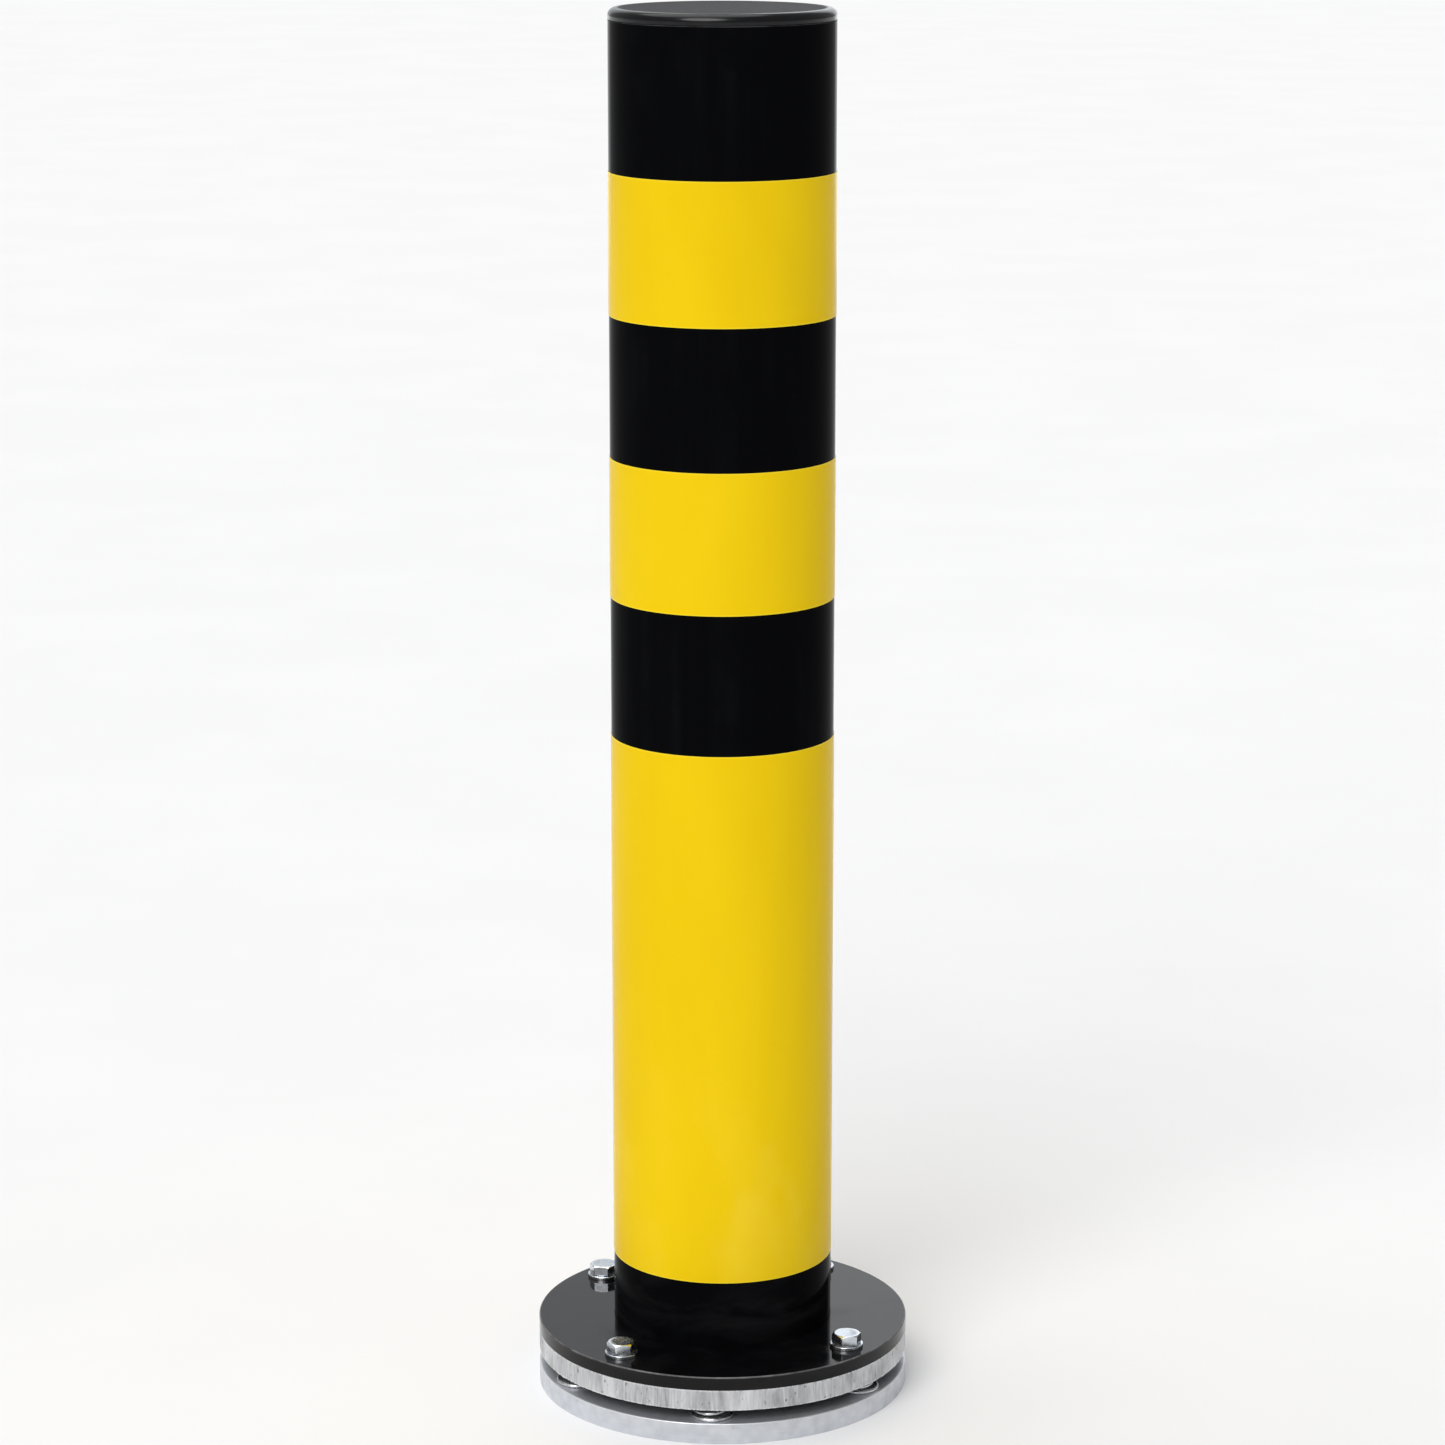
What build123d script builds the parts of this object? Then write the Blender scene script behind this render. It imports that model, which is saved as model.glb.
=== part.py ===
"""Steel safety bollard with a sprung foot: a post on a flange, a tilt plate on a ball joint and a base plate.

Millimetres. The origin is the centre of the base plate's underside, +Z is up, and -Y is the front.
"""
from build123d import *
import os
from math import cos, pi, radians, sin, sqrt, tan

# Overall sizes
total_height = 1000.0
post_diameter = 159.0
post_wall = 4.5
plate_diameter = 270.0

# The stack of plates at the foot, from the floor up
base_thickness = 15.0
spring_gap = 10.0
tilt_thickness = 15.0
flange_thickness = 10.0
tilt_underside = base_thickness + spring_gap
tilt_top = tilt_underside + tilt_thickness
flange_top = tilt_top + flange_thickness
base_edge_chamfer = 0.6
flange_edge_round = 1.0

# Clearances
thread_clearance = 0.05
running_clearance = 0.05
tube_socket_clearance = 0.2
cap_clearance = 0.15
spring_seat_clearance = 0.05

# Floor anchor holes, and the holes in the tilt plate that give a spanner a way to them
anchor_count = 4
anchor_edge_distance = 35.0
anchor_circle = plate_diameter - 2 * anchor_edge_distance
anchor_start_angle = 41.4
anchor_hole_diameter = 14.0
anchor_sink_diameter = 26.0
anchor_access_diameter = 26.0

# Ball joint: stud, liner shells and socket
ball_radius = 22.0
ball_rise = 2.0
ball_height = tilt_top + ball_rise
liner_thickness = 3.0
liner_inner_radius = ball_radius + running_clearance
liner_outer_radius = liner_inner_radius + liner_thickness
socket_radius = liner_outer_radius + running_clearance
socket_mouth_rise = 2.0
socket_mouth_height = tilt_underside + socket_mouth_rise
liner_lip = 1.5
liner_floor = socket_mouth_height + liner_lip
liner_crown_gap = 3.5
liner_ceiling = ball_height + ball_radius - liner_crown_gap
neck_radius = 11.0
collar_radius = 18.0
collar_thickness = 5.0
stud_thread_radius = 12.0
stud_thread_floor = 2.0
stud_key_across_flats = 14.0
stud_key_depth = 10.0

# Socket cap, which is screwed on top of the tilt plate over the ball
cap_hub_wall = 8.9
cap_hub_radius = socket_radius + cap_hub_wall
cap_hub_roof = 5.0
cap_hub_top = ball_height + socket_radius + cap_hub_roof
socket_screw_count = 4
socket_screw_inset = 11.0
socket_screw_circle = 2 * (cap_hub_radius + socket_screw_inset)
cap_flange_edge_distance = 10.0
cap_flange_radius = socket_screw_circle / 2 + cap_flange_edge_distance
cap_flange_thickness = 9.0
socket_screw_start_angle = 6.0
socket_screw_radius = 4.0
socket_screw_length = 20.0
socket_screw_head_radius = 6.5
socket_screw_head_height = 8.0
socket_screw_key_across_flats = 6.0
socket_screw_key_depth = 4.0
socket_screw_clearance = 0.5

# Index pins, which stop the post from twisting
index_pin_count = 2
index_pin_inset = 35.0
index_pin_circle = anchor_circle - 2 * index_pin_inset
index_pin_start_angle = 51.0
index_pin_radius = 6.0
index_pin_floor = 3.0
index_pin_reach = 7.0
index_pin_top = tilt_underside + index_pin_reach
index_pin_chamfer = 1.0
index_pin_play = 1.5
index_socket_roof = 3.0
index_socket_depth = tilt_thickness - index_socket_roof

# Conical springs in the gap: the wide coil stands on the base plate
spring_count = 6
spring_edge_distance = 18.0
spring_circle = plate_diameter - 2 * spring_edge_distance
spring_start_angle = -93.6
spring_outer_diameter = 31.5
spring_tip_diameter = 16.0
spring_wire_diameter = 3.0
spring_closed_turns = 0.45
spring_open_turns = 1.7

# Bolts that hold the post's flange down on the tilt plate
flange_bolt_count = 4
flange_bolt_edge_distance = 20.0
flange_bolt_circle = plate_diameter - 2 * flange_bolt_edge_distance
flange_bolt_start_angle = -129.0
flange_bolt_radius = 6.0
flange_bolt_length = 25.0
flange_bolt_across_flats = 19.0
flange_bolt_head_height = 7.5
flange_bolt_head_chamfer_angle = 30.0
flange_bolt_head_turn = 9.0
flange_hole_diameter = 13.5
washer_outer_diameter = 24.0
washer_inner_diameter = 13.0
washer_thickness = 2.5
washer_edge_chamfer = 0.4

# Post tube and the weld that holds it in the flange
tube_rise = 3.0
tube_floor = tilt_top + tube_rise
cap_visible_height = 8.0
tube_top = total_height - cap_visible_height
tube_edge_chamfer = 0.6
weld_rise = 0.5
weld_floor = tilt_top + weld_rise
weld_width = 4.5

# Plastic cap
cap_rim_round = 5.5
cap_skirt_depth = 28.0
cap_skirt_wall = 3.0
cap_skirt_lead = 1.0

# Yellow film bands on the black tube: the floor of each, and the height of black that shows above and below
film_thickness = 0.3
stripe_height = 100.0
top_black_height = 104.0
foot_black_height = 50.0
top_band_floor = tube_top - top_black_height - stripe_height
middle_band_floor = top_band_floor - 2 * stripe_height
bottom_band_floor = flange_top + foot_black_height
bottom_band_height = middle_band_floor - stripe_height - bottom_band_floor

post_radius = post_diameter / 2
post_inner_radius = post_radius - post_wall
plate_radius = plate_diameter / 2


def on_circle(circle_diameter, start_angle, count, index):
    """Plan position of one of a ring of equally spaced features."""
    angle = radians(start_angle + index * 360 / count)
    return circle_diameter / 2 * cos(angle), circle_diameter / 2 * sin(angle)


def save(part, label):
    """Label a finished sub-part and write it out under the same name."""
    part.label = label
    export_step(part, f"parts/{label}.step")


def save_copy(prototype, label, place):
    """Write out one placed copy of a repeated piece."""
    with BuildPart() as copy:
        with Locations(place):
            add(prototype.part)
    save(copy.part, label)


os.makedirs("parts", exist_ok=True)

# Base plate: a plain disc with countersunk anchor holes, a tapped hole for the stud and two pin holes
with BuildPart() as base_plate:
    with BuildSketch(Plane.XY):
        Circle(plate_radius)
    extrude(amount=base_thickness)
    chamfer(base_plate.edges().filter_by(GeomType.CIRCLE).group_by(Axis.Z)[-1], base_edge_chamfer)
    with Locations((0, 0, base_thickness)):
        with PolarLocations(anchor_circle / 2, anchor_count, start_angle=anchor_start_angle):
            CounterSinkHole(anchor_hole_diameter / 2, anchor_sink_diameter / 2, depth=base_thickness)
    with BuildSketch(Plane.XY.offset(stud_thread_floor)):
        Circle(stud_thread_radius + thread_clearance)
    extrude(amount=base_thickness, mode=Mode.SUBTRACT)
    with BuildSketch(Plane.XY.offset(index_pin_floor)):
        with PolarLocations(index_pin_circle / 2, index_pin_count, start_angle=index_pin_start_angle):
            Circle(index_pin_radius)
    extrude(amount=base_thickness, mode=Mode.SUBTRACT)
save(base_plate.part, "base_plate")

# Ball stud: thread, collar, neck and ball, with a hexagon socket in the top for tightening it
with BuildPart() as ball_stud:
    with BuildSketch(Plane.XY.offset(stud_thread_floor)):
        Circle(stud_thread_radius)
    extrude(amount=base_thickness - stud_thread_floor)
    with BuildSketch(Plane.XY.offset(base_thickness)):
        Circle(collar_radius)
    extrude(amount=collar_thickness)
    with BuildSketch(Plane.XY.offset(base_thickness)):
        Circle(neck_radius)
    extrude(amount=ball_height - base_thickness)
    with Locations((0, 0, ball_height)):
        Sphere(ball_radius)
    with BuildSketch(Plane.XY.offset(ball_height + ball_radius - stud_key_depth)):
        RegularPolygon(stud_key_across_flats / 2, 6, major_radius=False)
    extrude(amount=stud_key_depth, mode=Mode.SUBTRACT)
save(ball_stud.part, "ball_stud")

# Index pins: pressed into the base plate, standing loose in blind holes under the tilt plate
with BuildPart() as index_pin:
    with BuildSketch(Plane.XY.offset(index_pin_floor)):
        Circle(index_pin_radius)
    extrude(amount=index_pin_top - index_pin_floor)
    chamfer(index_pin.edges().filter_by(GeomType.CIRCLE).group_by(Axis.Z)[-1], index_pin_chamfer)
for index in range(index_pin_count):
    pin_x, pin_y = on_circle(index_pin_circle, index_pin_start_angle, index_pin_count, index)
    save_copy(index_pin, f"index_pin_{index + 1}", Location((pin_x, pin_y, 0)))

# Conical springs: one wire, swept along a helix that narrows upwards
wire_radius = spring_wire_diameter / 2
coil_bottom_radius = spring_outer_diameter / 2 - wire_radius
coil_top_radius = spring_tip_diameter / 2 - wire_radius
coil_floor = base_thickness + wire_radius + spring_seat_clearance
coil_rise = spring_gap - spring_wire_diameter - 2 * spring_seat_clearance
coil_points_per_turn = 20
spring_turns = spring_open_turns + 2 * spring_closed_turns
coil_point_count = round(spring_turns * coil_points_per_turn) + 1


def coil_point(step):
    """One point on the centre line of the wire, which lies flat for a while at each end."""
    turns = spring_turns * step / (coil_point_count - 1)
    share = min(1.0, max(0.0, (turns - spring_closed_turns) / spring_open_turns))
    radius = coil_bottom_radius + share * (coil_top_radius - coil_bottom_radius)
    angle = 2 * pi * turns
    height = coil_floor + share * coil_rise
    return radius * cos(angle), radius * sin(angle), height


with BuildPart() as tilt_spring:
    with BuildLine() as wire_path:
        Spline(*[coil_point(step) for step in range(coil_point_count)])
    with BuildSketch(Plane(origin=wire_path.line @ 0, z_dir=wire_path.line % 0)):
        Circle(wire_radius)
    sweep(path=wire_path.line, is_frenet=True)
for index in range(spring_count):
    coil_x, coil_y = on_circle(spring_circle, spring_start_angle, spring_count, index)
    coil_turn = spring_start_angle + index * 360 / spring_count - 180 * spring_closed_turns
    save_copy(tilt_spring, f"tilt_spring_{index + 1}", Location((coil_x, coil_y, 0), (0, 0, coil_turn)))


def liner_shell(low, high):
    """A slice, between two heights, of the spherical shell that lines the ball's socket."""
    with BuildPart() as shell:
        with Locations((0, 0, ball_height)):
            Sphere(liner_outer_radius)
            Sphere(liner_inner_radius, mode=Mode.SUBTRACT)
        with BuildSketch(Plane.XY.offset(low)):
            Circle(liner_outer_radius + liner_thickness)
        extrude(amount=high - low, mode=Mode.INTERSECT)
    return shell.part


save(liner_shell(liner_floor, ball_height), "ball_liner_lower")
save(liner_shell(ball_height, liner_ceiling), "ball_liner_upper")

# Tilt plate: raw steel, with the lower half of the ball's socket in the middle
with BuildPart() as tilt_plate:
    with BuildSketch(Plane.XY.offset(tilt_underside)):
        Circle(plate_radius)
        with PolarLocations(anchor_circle / 2, anchor_count, start_angle=anchor_start_angle):
            Circle(anchor_access_diameter / 2, mode=Mode.SUBTRACT)
        with PolarLocations(flange_bolt_circle / 2, flange_bolt_count, start_angle=flange_bolt_start_angle):
            Circle(flange_bolt_radius + thread_clearance, mode=Mode.SUBTRACT)
        with PolarLocations(socket_screw_circle / 2, socket_screw_count, start_angle=socket_screw_start_angle):
            Circle(socket_screw_radius + thread_clearance, mode=Mode.SUBTRACT)
    extrude(amount=tilt_thickness)
    with BuildSketch(Plane.XY.offset(tilt_underside)):
        with PolarLocations(index_pin_circle / 2, index_pin_count, start_angle=index_pin_start_angle):
            Circle(index_pin_radius + index_pin_play)
    extrude(amount=index_socket_depth, mode=Mode.SUBTRACT)
    with Locations((0, 0, ball_height)):
        Sphere(socket_radius, mode=Mode.SUBTRACT)
    mouth_radius = sqrt(socket_radius**2 - (ball_height - socket_mouth_height) ** 2)
    with BuildSketch(Plane.XY.offset(tilt_underside)):
        Circle(mouth_radius)
    extrude(amount=socket_mouth_height - tilt_underside, mode=Mode.SUBTRACT)
save(tilt_plate.part, "tilt_plate")

# Socket cap: holds the ball down in the tilt plate
with BuildPart() as socket_cap:
    with BuildSketch(Plane.XY.offset(tilt_top)):
        Circle(cap_flange_radius)
        with PolarLocations(socket_screw_circle / 2, socket_screw_count, start_angle=socket_screw_start_angle):
            Circle(socket_screw_radius + socket_screw_clearance, mode=Mode.SUBTRACT)
    extrude(amount=cap_flange_thickness)
    with BuildSketch(Plane.XY.offset(tilt_top)):
        Circle(cap_hub_radius)
    extrude(amount=cap_hub_top - tilt_top)
    with Locations((0, 0, ball_height)):
        Sphere(socket_radius, mode=Mode.SUBTRACT)
save(socket_cap.part, "socket_cap")

# Socket screws: M8 cap screws
with BuildPart() as socket_screw:
    head_floor = tilt_top + cap_flange_thickness
    with BuildSketch(Plane.XY.offset(head_floor - socket_screw_length)):
        Circle(socket_screw_radius)
    extrude(amount=socket_screw_length)
    with BuildSketch(Plane.XY.offset(head_floor)):
        Circle(socket_screw_head_radius)
    extrude(amount=socket_screw_head_height)
    with BuildSketch(Plane.XY.offset(head_floor + socket_screw_head_height - socket_screw_key_depth)):
        RegularPolygon(socket_screw_key_across_flats / 2, 6, major_radius=False)
    extrude(amount=socket_screw_key_depth, mode=Mode.SUBTRACT)
for index in range(socket_screw_count):
    screw_x, screw_y = on_circle(socket_screw_circle, socket_screw_start_angle, socket_screw_count, index)
    save_copy(socket_screw, f"socket_screw_{index + 1}", Location((screw_x, screw_y, 0)))

# Flange plate: bored for the tube and drilled for the four bolts
with BuildPart() as flange_plate:
    with BuildSketch(Plane.XY.offset(tilt_top)):
        Circle(plate_radius)
        Circle(post_radius + tube_socket_clearance, mode=Mode.SUBTRACT)
        with PolarLocations(flange_bolt_circle / 2, flange_bolt_count, start_angle=flange_bolt_start_angle):
            Circle(flange_hole_diameter / 2, mode=Mode.SUBTRACT)
    extrude(amount=flange_thickness)
    rim = flange_plate.edges().filter_by(GeomType.CIRCLE).group_by(Axis.Z)[-1].sort_by(SortBy.RADIUS)[-1]
    fillet(rim, flange_edge_round)
save(flange_plate.part, "flange_plate")

# Post tube
with BuildPart() as post_tube:
    with BuildSketch(Plane.XY.offset(tube_floor)):
        Circle(post_radius)
        Circle(post_inner_radius, mode=Mode.SUBTRACT)
    extrude(amount=tube_top - tube_floor)
    top_edge = post_tube.edges().filter_by(GeomType.CIRCLE).group_by(Axis.Z)[-1].sort_by(SortBy.RADIUS)[-1]
    chamfer(top_edge, tube_edge_chamfer)
save(post_tube.part, "post_tube")

# Foot weld: a ring under the tube's end that joins it to the wall of the flange's bore
with BuildPart() as foot_weld:
    with BuildSketch(Plane.XZ):
        with BuildLine():
            Polyline(
                (post_radius + tube_socket_clearance, weld_floor),
                (post_radius + tube_socket_clearance, tube_floor),
                (post_radius - weld_width, tube_floor),
                close=True,
            )
        make_face()
    revolve(axis=Axis.Z)
save(foot_weld.part, "foot_weld")

# Flange bolts: M12 hexagon screws with the corners of the head chamfered
with BuildPart() as flange_bolt:
    under_head = flange_top + washer_thickness
    head_top = under_head + flange_bolt_head_height
    corner_radius = flange_bolt_across_flats / sqrt(3)
    flat_radius = flange_bolt_across_flats / 2
    chamfer_drop = (corner_radius - flat_radius) * tan(radians(flange_bolt_head_chamfer_angle))
    with BuildSketch(Plane.XY.offset(under_head)):
        RegularPolygon(flat_radius, 6, major_radius=False)
    extrude(amount=flange_bolt_head_height)
    with BuildSketch(Plane.XZ):
        with BuildLine():
            Polyline(
                (0, under_head),
                (corner_radius, under_head),
                (corner_radius, head_top - chamfer_drop),
                (flat_radius, head_top),
                (0, head_top),
                close=True,
            )
        make_face()
    revolve(axis=Axis.Z, mode=Mode.INTERSECT)
    with BuildSketch(Plane.XY.offset(under_head - flange_bolt_length)):
        Circle(flange_bolt_radius)
    extrude(amount=flange_bolt_length)

# Flange washers
with BuildPart() as flange_washer:
    with BuildSketch(Plane.XY.offset(flange_top)):
        Circle(washer_outer_diameter / 2)
        Circle(washer_inner_diameter / 2, mode=Mode.SUBTRACT)
    extrude(amount=washer_thickness)
    washer_rim = flange_washer.edges().filter_by(GeomType.CIRCLE).group_by(Axis.Z)[-1].sort_by(SortBy.RADIUS)[-1]
    chamfer(washer_rim, washer_edge_chamfer)

for index in range(flange_bolt_count):
    bolt_x, bolt_y = on_circle(flange_bolt_circle, flange_bolt_start_angle, flange_bolt_count, index)
    bolt_place = Location((bolt_x, bolt_y, 0), (0, 0, flange_bolt_head_turn))
    save_copy(flange_bolt, f"flange_bolt_{index + 1}", bolt_place)
    save_copy(flange_washer, f"flange_washer_{index + 1}", bolt_place)


def film_band(label, floor, height):
    """A band of yellow film, wrapped face to face round the tube."""
    with BuildPart() as band:
        with BuildSketch(Plane.XY.offset(floor)):
            Circle(post_radius + film_thickness)
            Circle(post_radius, mode=Mode.SUBTRACT)
        extrude(amount=height)
    save(band.part, label)


film_band("yellow_band_top", top_band_floor, stripe_height)
film_band("yellow_band_middle", middle_band_floor, stripe_height)
film_band("yellow_band_bottom", bottom_band_floor, bottom_band_height)

# Post cap: a round-edged lid with a skirt that plugs into the tube
with BuildPart() as post_cap:
    with BuildSketch(Plane.XY.offset(tube_top)):
        Circle(post_radius)
    extrude(amount=cap_visible_height)
    fillet(post_cap.edges().filter_by(GeomType.CIRCLE).group_by(Axis.Z)[-1], cap_rim_round)
    skirt_radius = post_inner_radius - cap_clearance
    with BuildSketch(Plane.XZ):
        with BuildLine():
            Polyline(
                (skirt_radius, tube_top),
                (skirt_radius, tube_top - cap_skirt_depth + cap_skirt_lead),
                (skirt_radius - cap_skirt_lead, tube_top - cap_skirt_depth),
                (skirt_radius - cap_skirt_wall, tube_top - cap_skirt_depth),
                (skirt_radius - cap_skirt_wall, tube_top),
                close=True,
            )
        make_face()
    revolve(axis=Axis.Z)
save(post_cap.part, "post_cap")
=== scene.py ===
"""Looks of the steel safety bollard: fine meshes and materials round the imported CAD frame."""

import math

import bmesh
import bpy
from mathutils import Matrix, Vector, noise


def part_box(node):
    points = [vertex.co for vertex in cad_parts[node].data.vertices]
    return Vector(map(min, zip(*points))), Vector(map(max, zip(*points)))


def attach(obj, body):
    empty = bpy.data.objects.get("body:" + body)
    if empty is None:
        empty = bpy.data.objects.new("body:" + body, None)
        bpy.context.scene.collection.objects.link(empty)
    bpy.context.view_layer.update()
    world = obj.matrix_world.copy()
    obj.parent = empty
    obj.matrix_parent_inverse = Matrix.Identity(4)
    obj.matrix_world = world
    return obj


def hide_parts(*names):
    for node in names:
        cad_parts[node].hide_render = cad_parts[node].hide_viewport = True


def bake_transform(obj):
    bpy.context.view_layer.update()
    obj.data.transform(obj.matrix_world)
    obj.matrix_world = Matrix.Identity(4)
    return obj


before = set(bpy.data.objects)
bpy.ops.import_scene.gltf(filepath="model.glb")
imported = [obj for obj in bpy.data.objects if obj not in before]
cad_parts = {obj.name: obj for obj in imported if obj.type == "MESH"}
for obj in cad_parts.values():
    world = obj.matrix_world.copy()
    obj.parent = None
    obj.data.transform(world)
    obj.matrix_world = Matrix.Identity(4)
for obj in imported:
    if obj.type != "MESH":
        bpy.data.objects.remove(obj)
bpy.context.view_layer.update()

MM = 0.001

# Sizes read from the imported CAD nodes, in metres
base_low, base_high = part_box("base_plate")
tilt_low, tilt_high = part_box("tilt_plate")
flange_low, flange_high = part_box("flange_plate")
tube_low, tube_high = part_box("post_tube")
cap_low, cap_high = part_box("post_cap")

PLATE_RADIUS = min(base_high.x, base_high.y)
TUBE_RADIUS = min(tube_high.x, tube_high.y)
TUBE_WALL = 4.5 * MM
SOCKET_RADIUS = 25.1 * MM
BALL_RISE = 2 * MM
BALL_CENTRE = tilt_high.z + BALL_RISE

# Rings of equal features: the circle's diameter in mm, the first one's angle in degrees, and how many
ANCHORS = (200, 41.4, 4)
PINS = (130, 51, 2)
BOLTS = (230, -129, 4)
SCREWS = (90, 6, 4)
SPRINGS = (234, -93.6, 6)

# Holes, by radius and depth, with the clearances that the CAD parts have
STUD_HOLE, STUD_FLOOR = 12.05 * MM, 2 * MM
ANCHOR_HOLE, ANCHOR_SINK, ANCHOR_SINK_DEPTH, ANCHOR_ACCESS = 7 * MM, 13 * MM, 6.9 * MM, 13 * MM
PIN_HOLE, PIN_FLOOR, PIN_SOCKET, PIN_SOCKET_DEPTH = 6.02 * MM, 3 * MM, 7.5 * MM, 12 * MM
BOLT_THREAD, BOLT_CLEARANCE = 6.05 * MM, 6.75 * MM
SCREW_THREAD = 4.05 * MM

WIRE_RADIUS = 1.5 * MM
COIL_RADIUS, COIL_TIP_RADIUS = 15.75 * MM, 8.0 * MM
CLOSED_TURNS, OPEN_TURNS = 0.45, 1.7
ALL_TURNS = OPEN_TURNS + 2 * CLOSED_TURNS

BANDS = ("yellow_band_top", "yellow_band_middle", "yellow_band_bottom")

# How finely the meshes are made
PLATE_SEGMENTS = 384
CUT_EDGE_SEGMENTS, CUT_EDGE_ROWS = 1536, 22
TUBE_SEGMENTS = 256
WASHER_SEGMENTS = 128
DRILL_SEGMENTS = 64
BOLT_SEGMENTS = 192
THREAD_ROWS = 112
WIRE_SEGMENTS, COIL_STEPS_PER_TURN = 24, 96

SPARE = 1 * MM  # how far a cutter runs past the faces it cuts

# ---------------------------------------------------------------- mesh helpers


def new_piece(name, mesh, body, node):
    """A finished piece, riding on its CAD body and standing for its CAD node."""
    piece = bpy.data.objects.new(name, mesh)
    bpy.context.scene.collection.objects.link(piece)
    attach(piece, body)
    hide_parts(node)
    return piece


def mesh_from(name, verts, faces):
    """A mesh with outward normals and smooth faces."""
    mesh = bpy.data.meshes.new(name)
    mesh.from_pydata(verts, [], faces)
    shaped = bmesh.new()
    shaped.from_mesh(mesh)
    bmesh.ops.recalc_face_normals(shaped, faces=shaped.faces)
    shaped.to_mesh(mesh)
    shaped.free()
    mesh.shade_smooth()
    return mesh


def ring_faces(first, second, count):
    """Quads between two rings of vertices, given by the index of each ring's first vertex."""
    faces = []
    for i in range(count):
        ahead = (i + 1) % count
        faces.append((first + i, first + ahead, second + ahead, second + i))
    return faces


def fan_faces(centre, ring, count):
    """Triangles between one vertex and a ring of them."""
    return [(centre, ring + i, ring + (i + 1) % count) for i in range(count)]


def lathe(name, profile, segments, loop=True, shape=None):
    """A turned mesh. The profile is a list of (radius, height); shape may move each (angle, radius, height).
    A profile that isn't a loop starts and ends on the axis, and is closed there with one vertex each."""
    on_axis = 1e-7
    verts, faces, rings = [], [], []
    for radius, height in profile:
        if radius < on_axis:
            rings.append((len(verts), 1))
            verts.append((0, 0, height))
            continue
        rings.append((len(verts), segments))
        for i in range(segments):
            angle = math.tau * i / segments
            r, z = (radius, height) if shape is None else shape(angle, radius, height)
            verts.append((r * math.cos(angle), r * math.sin(angle), z))
    pairs = list(zip(rings, rings[1:]))
    if loop:
        pairs.append((rings[-1], rings[0]))
    for (a, a_count), (b, b_count) in pairs:
        if a_count > 1 and b_count > 1:
            faces += ring_faces(a, b, segments)
        elif b_count > 1:
            faces += fan_faces(a, b, segments)
        elif a_count > 1:
            faces += fan_faces(b, a, segments)
    return mesh_from(name, verts, faces)


def arc(centre_r, centre_z, radius, start, end, steps):
    """Profile points along a circular arc, from one angle to another in degrees."""
    points = []
    for i in range(steps + 1):
        angle = math.radians(start + (end - start) * i / steps)
        points.append((centre_r + radius * math.cos(angle), centre_z + radius * math.sin(angle)))
    return points


def cut(piece, cutters):
    """Cut a list of closed meshes, which don't touch each other, out of a piece."""
    joined = bmesh.new()
    for cutter in cutters:
        joined.from_mesh(cutter)
    tool_mesh = bpy.data.meshes.new("cutter")
    joined.to_mesh(tool_mesh)
    joined.free()
    tool = bpy.data.objects.new("cutter", tool_mesh)
    bpy.context.scene.collection.objects.link(tool)
    modifier = piece.modifiers.new("holes", "BOOLEAN")
    modifier.operation = "DIFFERENCE"
    modifier.solver = "EXACT"
    modifier.object = tool
    bpy.context.view_layer.update()
    graph = bpy.context.evaluated_depsgraph_get()
    result = bpy.data.meshes.new_from_object(piece.evaluated_get(graph))
    piece.modifiers.clear()
    piece.data = result
    bpy.data.objects.remove(tool)


def drill(x, y, low, high, radius, top_radius=None, sink=0.0):
    """A cutter for a round hole. With a top radius, the hole is countersunk to it over the sink's depth."""
    profile = [(0, low), (radius, low)]
    if top_radius is None:
        profile += [(radius, high), (0, high)]
    else:
        slope = (top_radius - radius) / sink
        spare = 0.5 * MM
        profile += [(radius, high - sink), (top_radius + slope * spare, high + spare), (0, high + spare)]
    mesh = lathe("drill", profile, DRILL_SEGMENTS, loop=False)
    mesh.transform(Matrix.Translation((x, y, 0)))
    return mesh


def finish_edges(piece, angle=35):
    """Sharp edges over the angle, and normals that keep flat faces flat."""
    piece.data.shade_smooth()
    piece.data.set_sharp_from_angle(angle=math.radians(angle))
    weighted = piece.modifiers.new("normals", "WEIGHTED_NORMAL")
    weighted.keep_sharp = True
    weighted.weight = 100


def clamped(number):
    """The number, held between 0 and 1."""
    return max(0.0, min(1.0, number))


def places(ring):
    """Plan position of each feature in a ring, in metres."""
    diameter, start, count = ring
    for index in range(count):
        angle = math.radians(start + index * 360 / count)
        yield diameter / 2 * MM * math.cos(angle), diameter / 2 * MM * math.sin(angle)


# ---------------------------------------------------------------- material helpers


def add_node(tree, kind, settings=None, **inputs):
    """A node with its settings and inputs; an input is a value or another node's socket."""
    node = tree.nodes.new(kind)
    for key, value in (settings or {}).items():
        setattr(node, key, value)
    for key, value in inputs.items():
        socket = node.inputs[key.replace("_", " ")]
        if isinstance(value, bpy.types.NodeSocket):
            tree.links.new(value, socket)
        else:
            socket.default_value = value
    return node


def new_material(name, **shader_values):
    """A material with a Principled shader; values that don't vary sit on the shader's own sockets."""
    material = bpy.data.materials.new(name)
    material.use_nodes = True
    tree = material.node_tree
    shader = tree.nodes["Principled BSDF"]
    for key, value in shader_values.items():
        shader.inputs[key.replace("_", " ")].default_value = value
    place = add_node(tree, "ShaderNodeTexCoord").outputs["Object"]
    return material, tree, shader, place


def stretched(tree, place, x, y, z):
    """The object's coordinates, scaled on each axis."""
    return add_node(tree, "ShaderNodeMapping", Vector=place, Scale=(x, y, z)).outputs["Vector"]


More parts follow.
